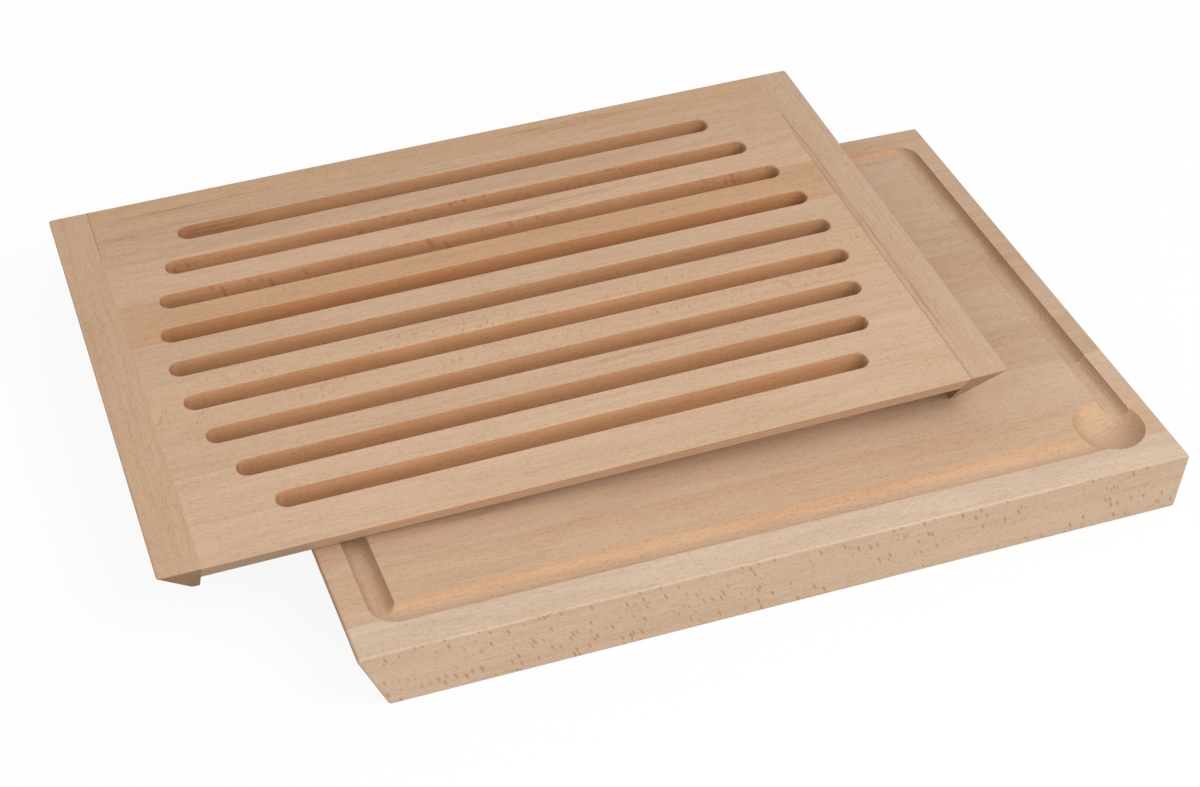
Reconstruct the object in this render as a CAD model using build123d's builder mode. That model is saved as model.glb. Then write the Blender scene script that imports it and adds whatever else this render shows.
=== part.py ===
from build123d import *
import os
from math import atan2, cos, degrees, radians, sin, sqrt

# Bread board with a crumb catcher, in solid beech. A thick tray board has a crumb
# groove and a collecting well, and a slatted cutting grille lies loose on it. The
# grille is shown pushed to the back and the left, with its panel on the tray's left
# rim and its right foot on the tray's middle. Millimetres, +X along the grain,
# +Y to the back, +Z up, origin at the middle of the tray's underside.

# Tray board
TRAY_LENGTH = 480.0
TRAY_WIDTH = 336.0
TRAY_HEIGHT = 38.0
LEFT_UNDERCUT = 17.0          # how far the left end slopes in, as a finger grip
RIGHT_UNDERCUT = 2.0
TRAY_STAVE_WIDTH = 37.0
TRAY_FRONT_STAVE_WIDTH = 22.2

# Crumb groove, cut with a round-nosed cutter, and the well in its front right corner
GROOVE_WIDTH = 14.0
GROOVE_DEPTH = 6.0
RIM_LEFT = 16.0
RIM_RIGHT = 12.6
RIM_FRONT = 18.9
RIM_BACK = 15.0
GROOVE_INNER_RADIUS = 0.2     # the middle's corners are left almost sharp
WELL_RADIUS = 20.4
WELL_DEPTH = 11.8
WELL_X = 209.5
WELL_Y = -131.3
ABOVE_TRAY = 3.0              # how far the cutters reach above the tray

# Cutting grille: nine slots in a panel of staves, between two battens
GRILLE_LENGTH = 478.0
GRILLE_WIDTH = 316.0
GRILLE_HEIGHT = 31.7          # panel top to the bottom of a batten's foot
PANEL_THICKNESS = 15.5
END_UNDERCUT = 18.2           # all four sides slope in below the top
SIDE_UNDERCUT = 20.5
BATTEN_WIDTH = 23.5
GRILLE_STAVE_WIDTH = 37.6
GRILLE_FRONT_STAVE_WIDTH = 30.4
SLOT_COUNT = 9
SLOT_PITCH = 30.1
SLOT_WIDTH = 13.2
SLOT_MIDDLE_LENGTH = 398.4
SLOT_END_ARC = 252.0          # radius of the arc that the slots' ends lie on
SLOT_ROW_SHIFT = -1.7
SLOT_EASE = 0.6

# Hidden tongues that key the staves into the battens
TONGUE_LENGTH = 6.0
TONGUE_THICKNESS = 5.0
TONGUE_STOP = 14.0            # the battens' grooves stop this far inside the sides
GLUE_ROOM = 0.5

# How the grille lies on the tray
GRILLE_SHIFT_X = -79.9
GRILLE_SHIFT_Y = 58.9
GRILLE_YAW = -1.16
LYING_GAP = 0.3

# Sanded corners and edges
TRAY_END_RADIUS = 2.0
TRAY_FACE_RADIUS = 1.2
GRILLE_CORNER_RADIUS = 2.5    # the four corners, seen from above
GRILLE_EDGE_RADIUS = 0.6

panel_length = GRILLE_LENGTH - 2 * BATTEN_WIDTH
half_grille = GRILLE_LENGTH / 2
half_side = GRILLE_WIDTH / 2
foot_inner_x = half_grille - BATTEN_WIDTH
foot_outer_x = half_grille - END_UNDERCUT

# The grille tilts until its panel lies on the left rim and its right foot on the middle
foot_drop = GRILLE_HEIGHT - PANEL_THICKNESS
reach = foot_inner_x + TRAY_LENGTH / 2 + GRILLE_SHIFT_X
tilt = atan2(foot_drop, reach)
yaw = radians(GRILLE_YAW)
grille_z = TRAY_HEIGHT + LYING_GAP + GRILLE_HEIGHT * cos(tilt) - foot_inner_x * sin(tilt)
grille_top = Plane(
    origin=(GRILLE_SHIFT_X, GRILLE_SHIFT_Y, grille_z),
    x_dir=(cos(tilt) * cos(yaw), cos(tilt) * sin(yaw), sin(tilt)),
    z_dir=(-sin(tilt) * cos(yaw), -sin(tilt) * sin(yaw), cos(tilt)),
)


def grille_plane(point, x_dir, z_dir):
    """A plane given in the grille's own coordinates."""
    place = grille_top.location
    corner = Plane(origin=point, x_dir=x_dir, z_dir=z_dir)
    return Plane(place * corner.location)


grille_back_section = grille_plane((0, half_side, 0), (1, 0, 0), (0, -1, 0))
front_slope = grille_plane((0, -half_side, 0), (1, 0, 0), (0, GRILLE_HEIGHT, SIDE_UNDERCUT))
back_slope = grille_plane((0, half_side, 0), (1, 0, 0), (0, -GRILLE_HEIGHT, SIDE_UNDERCUT))
grille_length = Axis(grille_top.origin, grille_top.x_dir)
grille_depth = Axis(grille_top.origin, grille_top.y_dir)
grille_height = Axis(grille_top.origin, grille_top.z_dir)


def stave_edges(width, first, regular):
    """Positions of the glue lines from front to back, both outer faces included."""
    edges = [-width / 2, -width / 2 + first]
    while edges[-1] + regular < width / 2:
        edges.append(edges[-1] + regular)
    return edges + [width / 2]


def slot_row():
    """Each slot's place across the grille and its length from tip to tip."""
    middle_tip = SLOT_MIDDLE_LENGTH / 2
    for index in range(SLOT_COUNT):
        along = (index - (SLOT_COUNT - 1) / 2) * SLOT_PITCH
        drop = SLOT_END_ARC - sqrt(SLOT_END_ARC**2 - along**2)
        yield SLOT_ROW_SHIFT + along, 2 * (middle_tip - drop)


def save(part, name):
    part.label = name
    export_step(part, f"parts/{name}.step")


# Crumb groove and well, as the shape that the cutters take away
groove_half = GROOVE_WIDTH / 2
groove_left = -TRAY_LENGTH / 2 + RIM_LEFT + groove_half
groove_right = TRAY_LENGTH / 2 - RIM_RIGHT - groove_half
groove_front = -TRAY_WIDTH / 2 + RIM_FRONT + groove_half
groove_back = TRAY_WIDTH / 2 - RIM_BACK - groove_half

with BuildPart() as crumb_hollow:
    with BuildLine(Plane.XY.offset(TRAY_HEIGHT)):
        groove_path = FilletPolyline(
            (groove_left, groove_front),
            (groove_right, groove_front),
            (groove_right, groove_back),
            (groove_left, groove_back),
            radius=groove_half + GROOVE_INNER_RADIUS,
            close=True,
        )
    across = Vector(0, 0, 1).cross(groove_path % 0)
    with BuildSketch(Plane(origin=groove_path @ 0, x_dir=across, z_dir=groove_path % 0)):
        with BuildLine():
            ThreePointArc((-groove_half, 0), (0, -GROOVE_DEPTH), (groove_half, 0))
            Polyline(
                (groove_half, 0),
                (groove_half, ABOVE_TRAY),
                (-groove_half, ABOVE_TRAY),
                (-groove_half, 0),
            )
        make_face()
    sweep(path=groove_path)
    well_ball = (WELL_RADIUS**2 + WELL_DEPTH**2) / (2 * WELL_DEPTH)
    with Locations((WELL_X, WELL_Y, TRAY_HEIGHT + well_ball - WELL_DEPTH)):
        Sphere(well_ball)


def tray_stave(front, back):
    """One full-length stave of the tray board, between two glue lines."""
    half = TRAY_LENGTH / 2
    with BuildPart() as stave:
        with BuildSketch(Plane.XZ.offset(-back)) as profile:
            with BuildLine():
                Polyline(
                    (-half + LEFT_UNDERCUT, 0),
                    (-half, TRAY_HEIGHT),
                    (half, TRAY_HEIGHT),
                    (half - RIGHT_UNDERCUT, 0),
                    close=True,
                )
            make_face()
            fillet(profile.vertices(), TRAY_END_RADIUS)
        extrude(amount=back - front)
        if front <= -TRAY_WIDTH / 2:
            fillet(stave.faces().sort_by(Axis.Y)[0].edges(), TRAY_FACE_RADIUS)
        if back >= TRAY_WIDTH / 2:
            fillet(stave.faces().sort_by(Axis.Y)[-1].edges(), TRAY_FACE_RADIUS)
        add(crumb_hollow.part, mode=Mode.SUBTRACT)
    return stave.part


def grille_stave(front, back):
    """One stave of the slatted panel, with its share of the slots and a tongue at each end."""
    with BuildPart() as stave:
        with BuildSketch(grille_top):
            with Locations((0, (front + back) / 2)):
                Rectangle(panel_length, back - front)
        extrude(amount=-PANEL_THICKNESS)
        if front <= -half_side:
            split(bisect_by=front_slope, keep=Keep.TOP)
            slope = stave.faces().sort_by(grille_depth)[0]
            fillet(slope.edges().sort_by(SortBy.LENGTH)[2:], GRILLE_EDGE_RADIUS)
        if back >= half_side:
            split(bisect_by=back_slope, keep=Keep.TOP)
            slope = stave.faces().sort_by(grille_depth)[-1]
            fillet(slope.edges().sort_by(SortBy.LENGTH)[2:], GRILLE_EDGE_RADIUS)
        tongue_front = max(front, -half_side + TONGUE_STOP)
        tongue_back = min(back, half_side - TONGUE_STOP)
        with BuildSketch(grille_top.offset(-(PANEL_THICKNESS - TONGUE_THICKNESS) / 2)):
            with Locations((0, (tongue_front + tongue_back) / 2)):
                Rectangle(panel_length + 2 * TONGUE_LENGTH, tongue_back - tongue_front)
        extrude(amount=-TONGUE_THICKNESS)
        for middle, length in slot_row():
            if middle + SLOT_WIDTH / 2 > front and middle - SLOT_WIDTH / 2 < back:
                with BuildSketch(grille_top):
                    with Locations((0, middle)):
                        SlotOverall(length, SLOT_WIDTH)
                extrude(amount=-PANEL_THICKNESS, mode=Mode.SUBTRACT)
                with BuildSketch(grille_top):
                    with Locations((0, middle)):
                        SlotOverall(length + 2 * SLOT_EASE, SLOT_WIDTH + 2 * SLOT_EASE)
                with BuildSketch(grille_top.offset(-SLOT_EASE)):
                    with Locations((0, middle)):
                        SlotOverall(length, SLOT_WIDTH)
                loft(ruled=True, mode=Mode.SUBTRACT)
    return stave.part


def batten(side):
    """The bar across one end of the grille: side is 1 for the right, -1 for the left."""
    with BuildPart() as bar:
        with BuildSketch(grille_back_section):
            with BuildLine():
                Polyline(
                    (side * foot_inner_x, 0),
                    (side * half_grille, 0),
                    (side * foot_outer_x, -GRILLE_HEIGHT),
                    (side * foot_inner_x, -GRILLE_HEIGHT),
                    close=True,
                )
            make_face()
        extrude(amount=GRILLE_WIDTH)
        split(bisect_by=front_slope, keep=Keep.TOP)
        split(bisect_by=back_slope, keep=Keep.TOP)
        outer_slope = bar.faces().sort_by(grille_length, reverse=side > 0)[0]
        fillet(outer_slope.edges().sort_by(SortBy.LENGTH)[:2], GRILLE_CORNER_RADIUS)
        joint = bar.faces().sort_by(grille_length, reverse=side > 0)[-1]
        top = bar.faces().sort_by(grille_height)[-1]
        bottom = bar.faces().sort_by(grille_height)[0]
        outline = [edge for edge in top.edges() + bottom.edges() if edge not in joint.edges()]
        fillet(outline, GRILLE_EDGE_RADIUS)
        groove_depth = TONGUE_LENGTH + GLUE_ROOM
        with BuildSketch(grille_top.offset(-(PANEL_THICKNESS - TONGUE_THICKNESS) / 2)):
            with Locations((side * (foot_inner_x + groove_depth / 2), 0)):
                Rectangle(groove_depth, GRILLE_WIDTH - 2 * TONGUE_STOP)
        extrude(amount=-TONGUE_THICKNESS, mode=Mode.SUBTRACT)
    return bar.part


os.makedirs("parts", exist_ok=True)

tray_lines = stave_edges(TRAY_WIDTH, TRAY_FRONT_STAVE_WIDTH, TRAY_STAVE_WIDTH)
for number, (front, back) in enumerate(zip(tray_lines, tray_lines[1:]), start=1):
    save(tray_stave(front, back), f"tray_stave_{number:02d}")

grille_lines = stave_edges(GRILLE_WIDTH, GRILLE_FRONT_STAVE_WIDTH, GRILLE_STAVE_WIDTH)
for number, (front, back) in enumerate(zip(grille_lines, grille_lines[1:]), start=1):
    save(grille_stave(front, back), f"grille_stave_{number}")

save(batten(-1), "left_batten")
save(batten(1), "right_batten")

print("tray glue lines", [round(line, 1) for line in tray_lines])
print("grille glue lines", [round(line, 1) for line in grille_lines])
print("grille tilt", round(degrees(tilt), 3), "grille top height", round(grille_z, 3))
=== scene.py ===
import math

import bmesh
import bpy
from mathutils import Euler, Matrix, Quaternion, Vector


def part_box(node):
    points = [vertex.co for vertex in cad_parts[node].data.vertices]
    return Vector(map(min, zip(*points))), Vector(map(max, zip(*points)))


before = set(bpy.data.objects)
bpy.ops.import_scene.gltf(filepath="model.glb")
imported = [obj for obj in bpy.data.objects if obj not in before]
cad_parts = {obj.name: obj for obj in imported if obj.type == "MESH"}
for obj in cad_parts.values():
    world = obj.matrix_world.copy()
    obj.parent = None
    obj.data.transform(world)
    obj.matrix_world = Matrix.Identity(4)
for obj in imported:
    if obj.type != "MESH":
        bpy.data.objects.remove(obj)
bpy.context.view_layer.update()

# Camera
# The board is seen from the front left and from about 41 degrees above, with the
# picture turned by 3 degrees.
CAMERA_PLACE = Vector((-0.4408, -0.9308, 0.8897))
CAMERA_TARGET = Vector((-0.0527, -0.0164, 0.038))
CAMERA_ROLL = math.radians(3.11)
CAMERA_LENS = 69.8
SENSOR_WIDTH = 36.0

camera = bpy.data.objects.new("camera", bpy.data.cameras.new("camera"))
camera.data.lens = CAMERA_LENS
camera.data.sensor_width = SENSOR_WIDTH
camera.location = CAMERA_PLACE
camera.rotation_mode = "QUATERNION"
aim = (CAMERA_TARGET - CAMERA_PLACE).to_track_quat("-Z", "Y")
camera.rotation_quaternion = aim @ Quaternion((0, 0, 1), CAMERA_ROLL)
bpy.context.scene.collection.objects.link(camera)
bpy.context.scene.camera = camera
bpy.context.scene.view_settings.view_transform = "Standard"

# Studio floor and backdrop
# A white sheet that the board stands on. It is plain white to the eye, keeps the
# board's soft shadow, and throws light back at the board's sides and undersides.
FLOOR_SIDE = 8.0
FLOOR_DROP = 0.0003
FLOOR_BOUNCE = 0.42
SHADOW_SHARE = 0.10
BACKDROP_LIGHT = 0.62


class Look:
    """The output of a shader node. Arithmetic on it adds Math nodes to its material."""

    def __init__(self, tree, socket=None):
        self.tree = tree
        self.socket = socket

    def node(self, kind, sockets, output=0, **settings):
        """Adds a node: first its settings, then the values or links of its sockets."""
        made = self.tree.nodes.new(kind)
        for name, setting in settings.items():
            setattr(made, name, setting)
        for name, value in sockets.items():
            if isinstance(value, Look):
                self.tree.links.new(value.socket, made.inputs[name])
            else:
                made.inputs[name].default_value = value
        return Look(self.tree, made.outputs[output] if made.outputs else None)

    def math(self, operation, *values):
        return self.node("ShaderNodeMath", dict(enumerate(values)), operation=operation)

    def __add__(self, other):
        return self.math("ADD", self, other)

    def __radd__(self, other):
        return self.math("ADD", other, self)

    def __sub__(self, other):
        return self.math("SUBTRACT", self, other)

    def __rsub__(self, other):
        return self.math("SUBTRACT", other, self)

    def __mul__(self, other):
        return self.math("MULTIPLY", self, other)

    def __rmul__(self, other):
        return self.math("MULTIPLY", other, self)

    def __truediv__(self, other):
        return self.math("DIVIDE", self, other)

    def __pow__(self, other):
        return self.math("POWER", self, other)


def new_tree(owner):
    """An empty shader tree of a material or a world, as a Look to build on."""
    owner.use_nodes = True
    owner.node_tree.nodes.clear()
    return Look(owner.node_tree)


floor_mesh = bpy.data.meshes.new("studio_floor")
floor_form = bmesh.new()
bmesh.ops.create_grid(floor_form, x_segments=1, y_segments=1, size=FLOOR_SIDE / 2)
bmesh.ops.translate(floor_form, vec=(0, 0, -FLOOR_DROP), verts=floor_form.verts)
floor_form.to_mesh(floor_mesh)
floor_form.free()
floor = bpy.data.objects.new("studio_floor", floor_mesh)
bpy.context.scene.collection.objects.link(floor)

floor_paint = bpy.data.materials.new("studio_white")
paint = new_tree(floor_paint)
seen = paint.node("ShaderNodeLightPath", {}, "Is Camera Ray")
matt = paint.node("ShaderNodeBsdfDiffuse", {"Color": (FLOOR_BOUNCE, FLOOR_BOUNCE, FLOOR_BOUNCE, 1)})
glow = paint.node("ShaderNodeEmission", {"Color": (1, 1, 1, 1), "Strength": 1.0})
white = paint.node("ShaderNodeBsdfDiffuse", {"Color": (1, 1, 1, 1)})
lit = paint.node("ShaderNodeMixShader", {0: SHADOW_SHARE, 1: glow, 2: white})
both = paint.node("ShaderNodeMixShader", {0: seen, 1: matt, 2: lit})
paint.node("ShaderNodeOutputMaterial", {"Surface": both})
floor_mesh.materials.append(floor_paint)

backdrop = bpy.data.worlds.new("studio_backdrop")
bpy.context.scene.world = backdrop
sky = new_tree(backdrop)
seen_sky = sky.node("ShaderNodeLightPath", {}, "Is Camera Ray")
strength = seen_sky * (1 - BACKDROP_LIGHT) + BACKDROP_LIGHT
air = sky.node("ShaderNodeBackground", {"Color": (1, 1, 1, 1), "Strength": strength})
sky.node("ShaderNodeOutputWorld", {"Surface": air})

# Lamps
# Two large soft boxes: the main one above and to the right of the camera, and a
# weaker one low beside it, so that the walls under the board's edges stay readable.
KEY_PLACE = Vector((1.0, -1.2, 1.9))
KEY_SIDE = 1.4
KEY_POWER = 23.0
FILL_PLACE = Vector((-0.7, -2.0, 0.9))
FILL_SIDE = 1.4
FILL_POWER = 13.0


def soft_box(name, place, side, power):
    """A square soft box that shines at the middle of the board."""
    lamp = bpy.data.objects.new(name, bpy.data.lights.new(name, "AREA"))
    lamp.data.size = side
    lamp.data.energy = power
    lamp.location = place
    lamp.rotation_mode = "QUATERNION"
    lamp.rotation_quaternion = (-place).to_track_quat("-Z", "Y")
    bpy.context.scene.collection.objects.link(lamp)


soft_box("key_soft_box", KEY_PLACE, KEY_SIDE, KEY_POWER)
soft_box("fill_soft_box", FILL_PLACE, FILL_SIDE, FILL_POWER)

# Staves of the tray board
# Ten strips of sanded, unvarnished beech, glued edge to edge, grain along X. The wood
# is a solid pattern: growth rings round a heart, pores as short dashes along the grain,
# and rays that run out from the heart and show as flecks where a face cuts along them.
MM = 0.001
RING_WIDTH = 1.9
RING_DRIFT = 2.5
HEART_SWAY = 14
STREAK_SWAY = 8
PORE = (3.8, 0.8, 0.8)
PORE_SHARE = 0.65
RAY_SLANT = 0.4
WOOD_ROUGHNESS = 0.62
WOOD_GLOSS = 0.3
FIBRE_ROUGHNESS = 0.10
GRAIN_RELIEF = 0.00012

# How strongly each part of the figure stains the wood, from pale to dark
LATE_STAIN = 0.11
BAND_STAIN = 0.18
CLOUD_STAIN = 0.10
FIBRE_STAIN = 0.19
VESSEL_STAIN = 0.14
PORE_STAIN = 0.36
STREAK_STAIN = 0.65
# Painted shade on the eased edges and on the undercut slopes that look down, added to the stain
EDGE_AND_SLOPE_PAINTED_SHADE = 0.45

# Colours of the figure, as shares of the stave's own red, green and blue
PALE_WOOD = (1.11, 1.15, 1.19)
DARK_WOOD = (0.80, 0.70, 0.60)
END_GRAIN = (0.68, 0.60, 0.48)
RAY_FLECK = (0.72, 0.52, 0.37)
GLUE_LINE = (0.42, 0.30, 0.22)
GLUE_STRENGTH = 0.75
GLUE_FADE = 12


def srgb(red, green, blue):
    """A colour given in display levels from 0 to 255, as Blender's linear colour."""
    levels = [level / 255 for level in (red, green, blue)]
    return (*(((v + 0.055) / 1.055) ** 2.4 if v > 0.04045 else v / 12.92 for v in levels), 1)


def tinted(colour, tint):
    """A colour with shares of its red, green and blue."""
    return (colour[0] * tint[0], colour[1] * tint[1], colour[2] * tint[2], 1)


def mixed(factor, first, second):
    """A colour between two others."""
    return factor.node("ShaderNodeMix", {0: factor, 6: first, 7: second}, 2, data_type="RGBA")


def between(value, low, high):
    """Runs smoothly from 0 at low to 1 at high."""
    limits = {"Value": value, "From Min": low, "From Max": high}
    return value.node("ShaderNodeMapRange", limits, interpolation_type="SMOOTHSTEP")


def noise(place, size, seed, detail=2.0, roughness=0.5):
    """Soft noise with features of the given size, in millimetres along each axis of place."""
    x, y, z = (axis / length for axis, length in zip(place, size))
    point = x.node("ShaderNodeCombineXYZ", {0: x, 1: y, 2: z})
    sockets = {"Vector": point, "W": seed, "Scale": 1.0, "Detail": detail, "Roughness": roughness}
    return x.node("ShaderNodeTexNoise", sockets, noise_dimensions="4D")


def spots(place, size, seed, share):
    """Separate soft spots, one in each cell of the given size, of which a share is kept."""
    x, y, z = (axis / length for axis, length in zip(place, size))
    point = x.node("ShaderNodeCombineXYZ", {0: x + 17.0 * seed, 1: y, 2: z + 5.0 * seed})
    sockets = {"Vector": point, "Scale": 1.0, "Randomness": 1.0}
    spot = x.node("ShaderNodeTexVoronoi", sockets, "Distance")
    cell = x.node("ShaderNodeTexVoronoi", sockets, "Color")
    chance = x.node("ShaderNodeSeparateColor", {"Color": cell}, "Red")
    return between(spot, 0.46, 0.24) * between(chance, 1 - share, 1.05 - share)


def beech(
    name, origin, turn, heart, tone, ends, side_painted_light,
    rays=None, streaks=(), seed=0.0, eased=True, glue=None,
):
    """Beech with its grain along the turned X axis. heart is where the log's heart lies, in
    millimetres across and above the origin, and ends says how dark the end grain is. The side
    tint is painted light and shade: it tints the side faces, and on an eased piece all upright
    ones, from where their slope passes its last number, and it is weaker on faces that look back
    along the grain, such as the slots' right ends. rays are the cut rays' length along the grain,
    thickness, height, share and strength, streaks are dark veins as (along, across, length,
    width), and glue is the stretch of grain, from and to, where a joint at the origin shows dark.
    On an eased piece, painted shade also darkens the eased edges and the undercut slopes that
    look down."""
    material = bpy.data.materials.new("beech_" + name)
    wood = new_tree(material)
    place = wood.node("ShaderNodeTexCoord", {}, "Object")
    sockets = {"Vector": place, "Location": origin, "Rotation": turn, "Scale": (MM, MM, MM)}
    point = wood.node("ShaderNodeMapping", sockets, vector_type="TEXTURE")
    along, across, above = (
        wood.node("ShaderNodeSeparateXYZ", {"Vector": point}, axis) for axis in ("X", "Y", "Z")
    )
    straight = (along, across, above)
    sway = noise(straight, (170, 60, 60), seed, detail=1.0) - 0.5
    lean = noise(straight, (230, 80, 80), seed + 3.1, detail=1.0) - 0.5
    outward = across - heart[0] + HEART_SWAY * sway
    upward = above - heart[1] + HEART_SWAY * lean
    radius = (outward * outward + upward * upward) ** 0.5
    around = wood.math("ARCTAN2", outward, upward) * math.hypot(*heart)
    rings = (along, around, radius)

    uneven = noise((radius, along, radius), (11, 900, 30), seed + 5.7, detail=1.0)
    ring = wood.math("FRACT", radius / RING_WIDTH + RING_DRIFT * uneven)
    late = between(ring, 0.45, 0.98)
    band = noise(rings, (380, 24, 6), seed + 1.3, roughness=0.6)
    cloud = noise(straight, (60, 16, 16), seed + 8.4)
    fibre = noise(straight, (8, 0.8, 0.8), seed + 2.2, roughness=0.6)
    vessel = noise(straight, (70, 1.6, 1.6), seed + 6.5, roughness=0.6)
    pores = spots(straight, PORE, seed + 0.3, PORE_SHARE)
    stain_and_painted_shade = LATE_STAIN * late + BAND_STAIN * between(band, 0.3, 0.7)
    stain_and_painted_shade = stain_and_painted_shade + CLOUD_STAIN * between(cloud, 0.35, 0.7) + FIBRE_STAIN * between(fibre, 0.4, 0.7)
    stain_and_painted_shade = stain_and_painted_shade + VESSEL_STAIN * between(vessel, 0.42, 0.7) + PORE_STAIN * pores
    for middle, side, length, width in streaks:
        aside = across - side + STREAK_SWAY * sway
        reach = ((along - middle) / length) ** 2.0 + (aside / width) ** 2.0
        vein = noise(straight, (60, 1.1, 1.1), seed + 7.7, roughness=0.6)
        stain_and_painted_shade = stain_and_painted_shade + STREAK_STAIN * between(reach, 1.0, 0.2) * between(vein, 0.44, 0.62)

    normal = wood.node("ShaderNodeNewGeometry", {}, "Normal")
    turned = Euler(turn).to_matrix()
    lengthways, sideways, upwards = (
        wood.node("ShaderNodeVectorMath", {0: normal, 1: way}, "Value", operation="DOT_PRODUCT")
        for way in (turned.col[0], turned.col[1], turned.col[2])
    )
    cut_across = between(wood.math("ABSOLUTE", lengthways), 0.25, 0.95)
    side_face = wood.math("ABSOLUTE", sideways)
    hair = noise(rings, (30, 0.5, 14), seed + 9.2, roughness=0.6)
    stain_and_painted_shade = stain_and_painted_shade + cut_across * ends * (0.33 + 1.2 * late + 0.9 * between(hair, 0.42, 0.68))
    steep = side_face
    if eased:
        # Painted shade: eased pieces are darker on their rounded edges and on the undercut slopes that
        # look down
        edge_and_slope_shade = between(side_face, 0.12, 0.4) * between(side_face, 0.82, 0.6)
        stain_and_painted_shade = stain_and_painted_shade + EDGE_AND_SLOPE_PAINTED_SHADE * edge_and_slope_shade
        steep = (1.0 - upwards * upwards) ** 0.5
    colour = mixed(stain_and_painted_shade, tinted(tone, PALE_WOOD), tinted(tone, DARK_WOOD))
    colour = mixed(cut_across * ends, colour, tinted(tone, END_GRAIN))
    relief = 0.5 - 0.6 * pores - 0.3 * fibre - 0.15 * late
    if rays:
        *ray_size, share, strength = rays
        slant = along + RAY_SLANT * radius
        fleck = spots((slant, around, radius), ray_size, seed + 0.6, share)
        patch = noise(rings, (45, 10, 16), seed + 4.9, detail=1.0)
        tangent = wood.math("ABSOLUTE", (sideways * outward + upwards * upward) / radius)
        fleck = fleck * between(patch, 0.38, 0.52) * between(tangent, 0.75, 0.35)
        colour = mixed(fleck * strength, colour, tinted(tone, RAY_FLECK))
        relief = relief - 0.3 * fleck
    # Painted light and shade: the side tint multiplies the colour of the side or upright faces, less on
    # faces that look back along the grain
    *painted_tint, side_from = side_painted_light
    multiply = {0: 1.0, 6: colour, 7: (*painted_tint, 1)}
    painted_lit_colour = wood.node("ShaderNodeMix", multiply, 2, data_type="RGBA", blend_type="MULTIPLY")
    painted_light_share = between(steep, side_from, 0.995) * (1.0 - 0.6 * between(lengthways, -0.35, -0.95))
    colour = mixed(painted_light_share, colour, painted_lit_colour)
    if glue:
        line = between(wood.math("ABSOLUTE", across), 0.55, 0.25)
        start, stop = glue
        line = line * between(along, start, start + GLUE_FADE) * between(along, stop, stop - GLUE_FADE)
        colour = mixed(line * GLUE_STRENGTH, colour, tinted(tone, GLUE_LINE))

    bump = wood.node("ShaderNodeBump", {"Strength": 0.5, "Distance": GRAIN_RELIEF, "Height": relief})
    sheen = WOOD_ROUGHNESS + FIBRE_ROUGHNESS * fibre
    surface = wood.node(
        "ShaderNodeBsdfPrincipled",
        {"Base Color": colour, "Roughness": sheen, "Normal": bump, "Specular IOR Level": WOOD_GLOSS},
    )
    wood.node("ShaderNodeOutputMaterial", {"Surface": surface})
    return material


def middle_of(name):
    """The middle of a CAD piece's box."""
    low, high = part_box(name)
    return (low + high) / 2


def finish_in(name, finish):
    """Gives a CAD piece its material."""
    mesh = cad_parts[name].data
    mesh.materials.clear()
    mesh.materials.append(finish)


# Each stave's colour, the place of its log's heart, its rays and its streaks, front to back
TRAY_ENDS = 0.3
NARROW_RAYS = (2.3, 0.8, 7.0, 0.34, 0.7)
# Painted light and shade on the tray's side faces: the front stave's front face, and the groove walls
# and other side faces of the rest
FACE_PAINTED_LIGHT = (1.02, 0.98, 0.92, 0.2)
GROOVE_PAINTED_LIGHT = (1.05, 1.0, 0.92, 0.2)
TRAY_STAVES = [
    (srgb(210, 184, 160), (-11, -95), NARROW_RAYS, []),
    (srgb(204, 170, 140), (90, -60), None, []),
    (srgb(202, 172, 145), (-12, -120), None, [(98, 5, 8, 2), (-150, 5, 40, 5)]),
    (srgb(194, 163, 134), (160, -40), None, []),
    (srgb(197, 167, 140), (25, -130), None, []),
    (srgb(194, 162, 134), (-140, -60), None, []),
    (srgb(195, 164, 135), (-20, -110), None, []),
    (srgb(196, 166, 138), (110, -90), None, []),
    (srgb(196, 165, 138), (10, -140), None, []),
    (srgb(198, 163, 133), (-70, -100), None, []),
]
STRAIGHT = (0, 0, 0)

for number, (tone, heart, rays, streaks) in enumerate(TRAY_STAVES, start=1):
    name = f"tray_stave_{number:02d}"
    seed = 1.7 * number
    # The front stave takes the front face's painted light, the others the groove walls' painted light
    stave_painted_light = FACE_PAINTED_LIGHT if number == 1 else GROOVE_PAINTED_LIGHT
    finish = beech(
        name, middle_of(name), STRAIGHT, heart, tone, TRAY_ENDS, stave_painted_light, rays, streaks, seed, eased=False
    )
    finish_in(name, finish)

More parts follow.
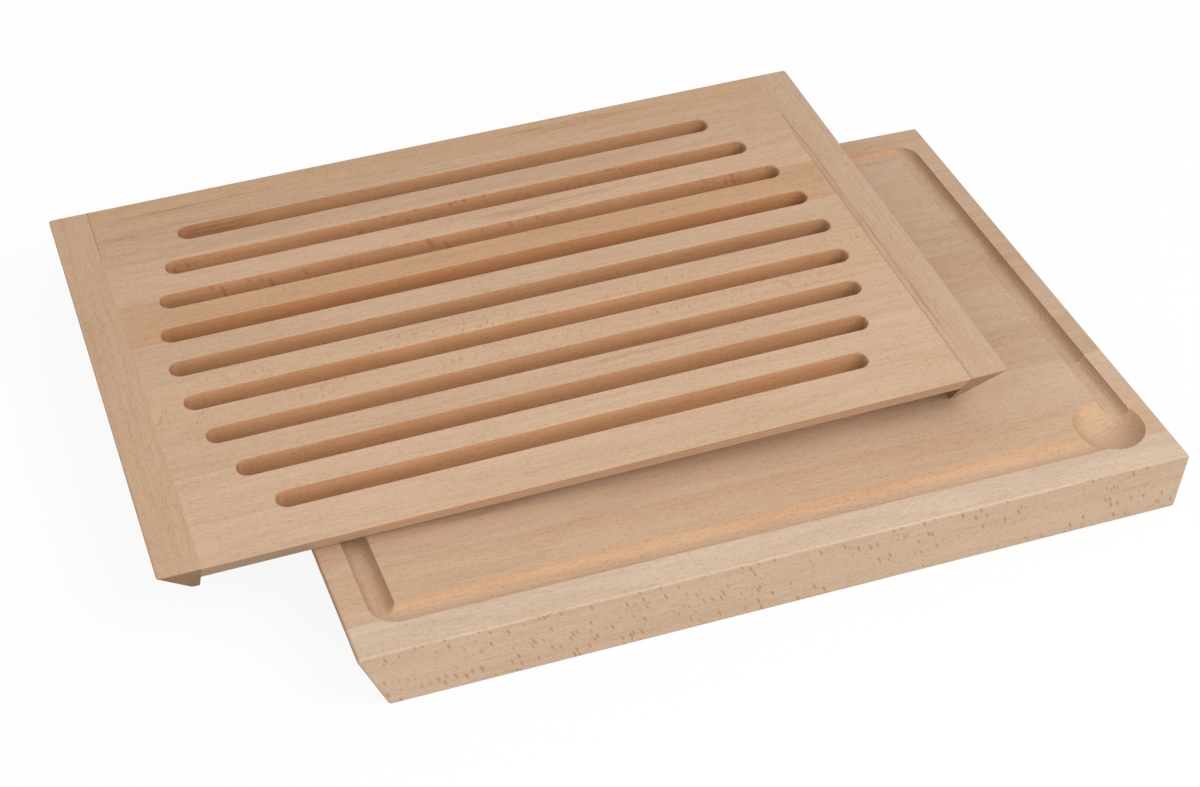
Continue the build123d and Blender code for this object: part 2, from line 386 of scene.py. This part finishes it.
# Staves of the cutting grille
# Nine strips of the same beech, glued into a panel before the slots are cut through
# it. The panel lies turned and tilted on the tray, so its grain is turned with it.
GRILLE_TURN = (0.0, math.radians(-2.47), math.radians(-1.16))
GRILLE_ENDS = 0.1
# Painted shade and warm bounce light on the upright faces of the grille and the battens, such as the
# slot walls
WALL_PAINTED_SHADE = (1.05, 0.88, 0.70, 0.95)
WIDE_RAYS = (4.2, 0.9, 26.0, 0.45, 0.5)
SPARSE_RAYS = (2.0, 0.7, 7.0, 0.4, 0.4)
GRILLE_STAVES = [
    (srgb(207, 174, 144), (15, -120), None, []),
    (srgb(208, 175, 145), (-130, -70), None, []),
    (srgb(205, 171, 141), (20, -90), None, [(60, 0, 70, 7)]),
    (srgb(206, 171, 139), (140, 7), SPARSE_RAYS, []),
    (srgb(202, 168, 138), (60, -130), None, []),
    (srgb(198, 157, 122), (-90, -110), None, []),
    (srgb(204, 169, 139), (-14, -110), WIDE_RAYS, [(40, -4, 60, 5)]),
    (srgb(198, 164, 135), (-30, -80), None, [(-170, 8, 60, 6), (60, 0, 50, 5)]),
    (srgb(197, 160, 127), (70, -100), None, [(-150, -4, 60, 5), (90, 2, 60, 5)]),
]

for number, (tone, heart, rays, streaks) in enumerate(GRILLE_STAVES, start=1):
    name = f"grille_stave_{number}"
    seed = 30 + 2.3 * number
    finish = beech(
        name, middle_of(name), GRILLE_TURN, heart, tone, GRILLE_ENDS, WALL_PAINTED_SHADE, rays, streaks, seed
    )
    finish_in(name, finish)

# Battens of the cutting grille
# One bar across each end of the panel, glued on and reaching below it as a foot. Their
# grain runs across the board, from the front to the back.
GRILLE_MIDDLE = Vector((-0.0799, 0.0589, 0.060684))
HALF_PANEL = 0.2155
BATTEN_TURN = (math.radians(-2.47), 0.0, math.radians(88.84))
BATTEN_ENDS = 0.45
grille_place = Matrix.LocRotScale(GRILLE_MIDDLE, Euler(GRILLE_TURN), None)
left_joint = grille_place @ Vector((-HALF_PANEL, 0, 0))
right_joint = grille_place @ Vector((HALF_PANEL, 0, 0))
left_tone = srgb(199, 164, 133)
right_tone = srgb(198, 166, 139)
red_veins = [(30, -2.5, 110, 2.2), (-60, -5.0, 90, 2.0)]

# Both battens take the grille's painted shade and warm bounce light on their upright faces
left_beech = beech(
    "left_batten", left_joint, BATTEN_TURN, (40, -90), left_tone, BATTEN_ENDS, WALL_PAINTED_SHADE,
    seed=61, glue=(105, 170),
)
right_beech = beech(
    "right_batten", right_joint, BATTEN_TURN, (-60, -80), right_tone, BATTEN_ENDS, WALL_PAINTED_SHADE,
    streaks=red_veins, seed=64.7, glue=(-170, 95),
)
finish_in("left_batten", left_beech)
finish_in("right_batten", right_beech)
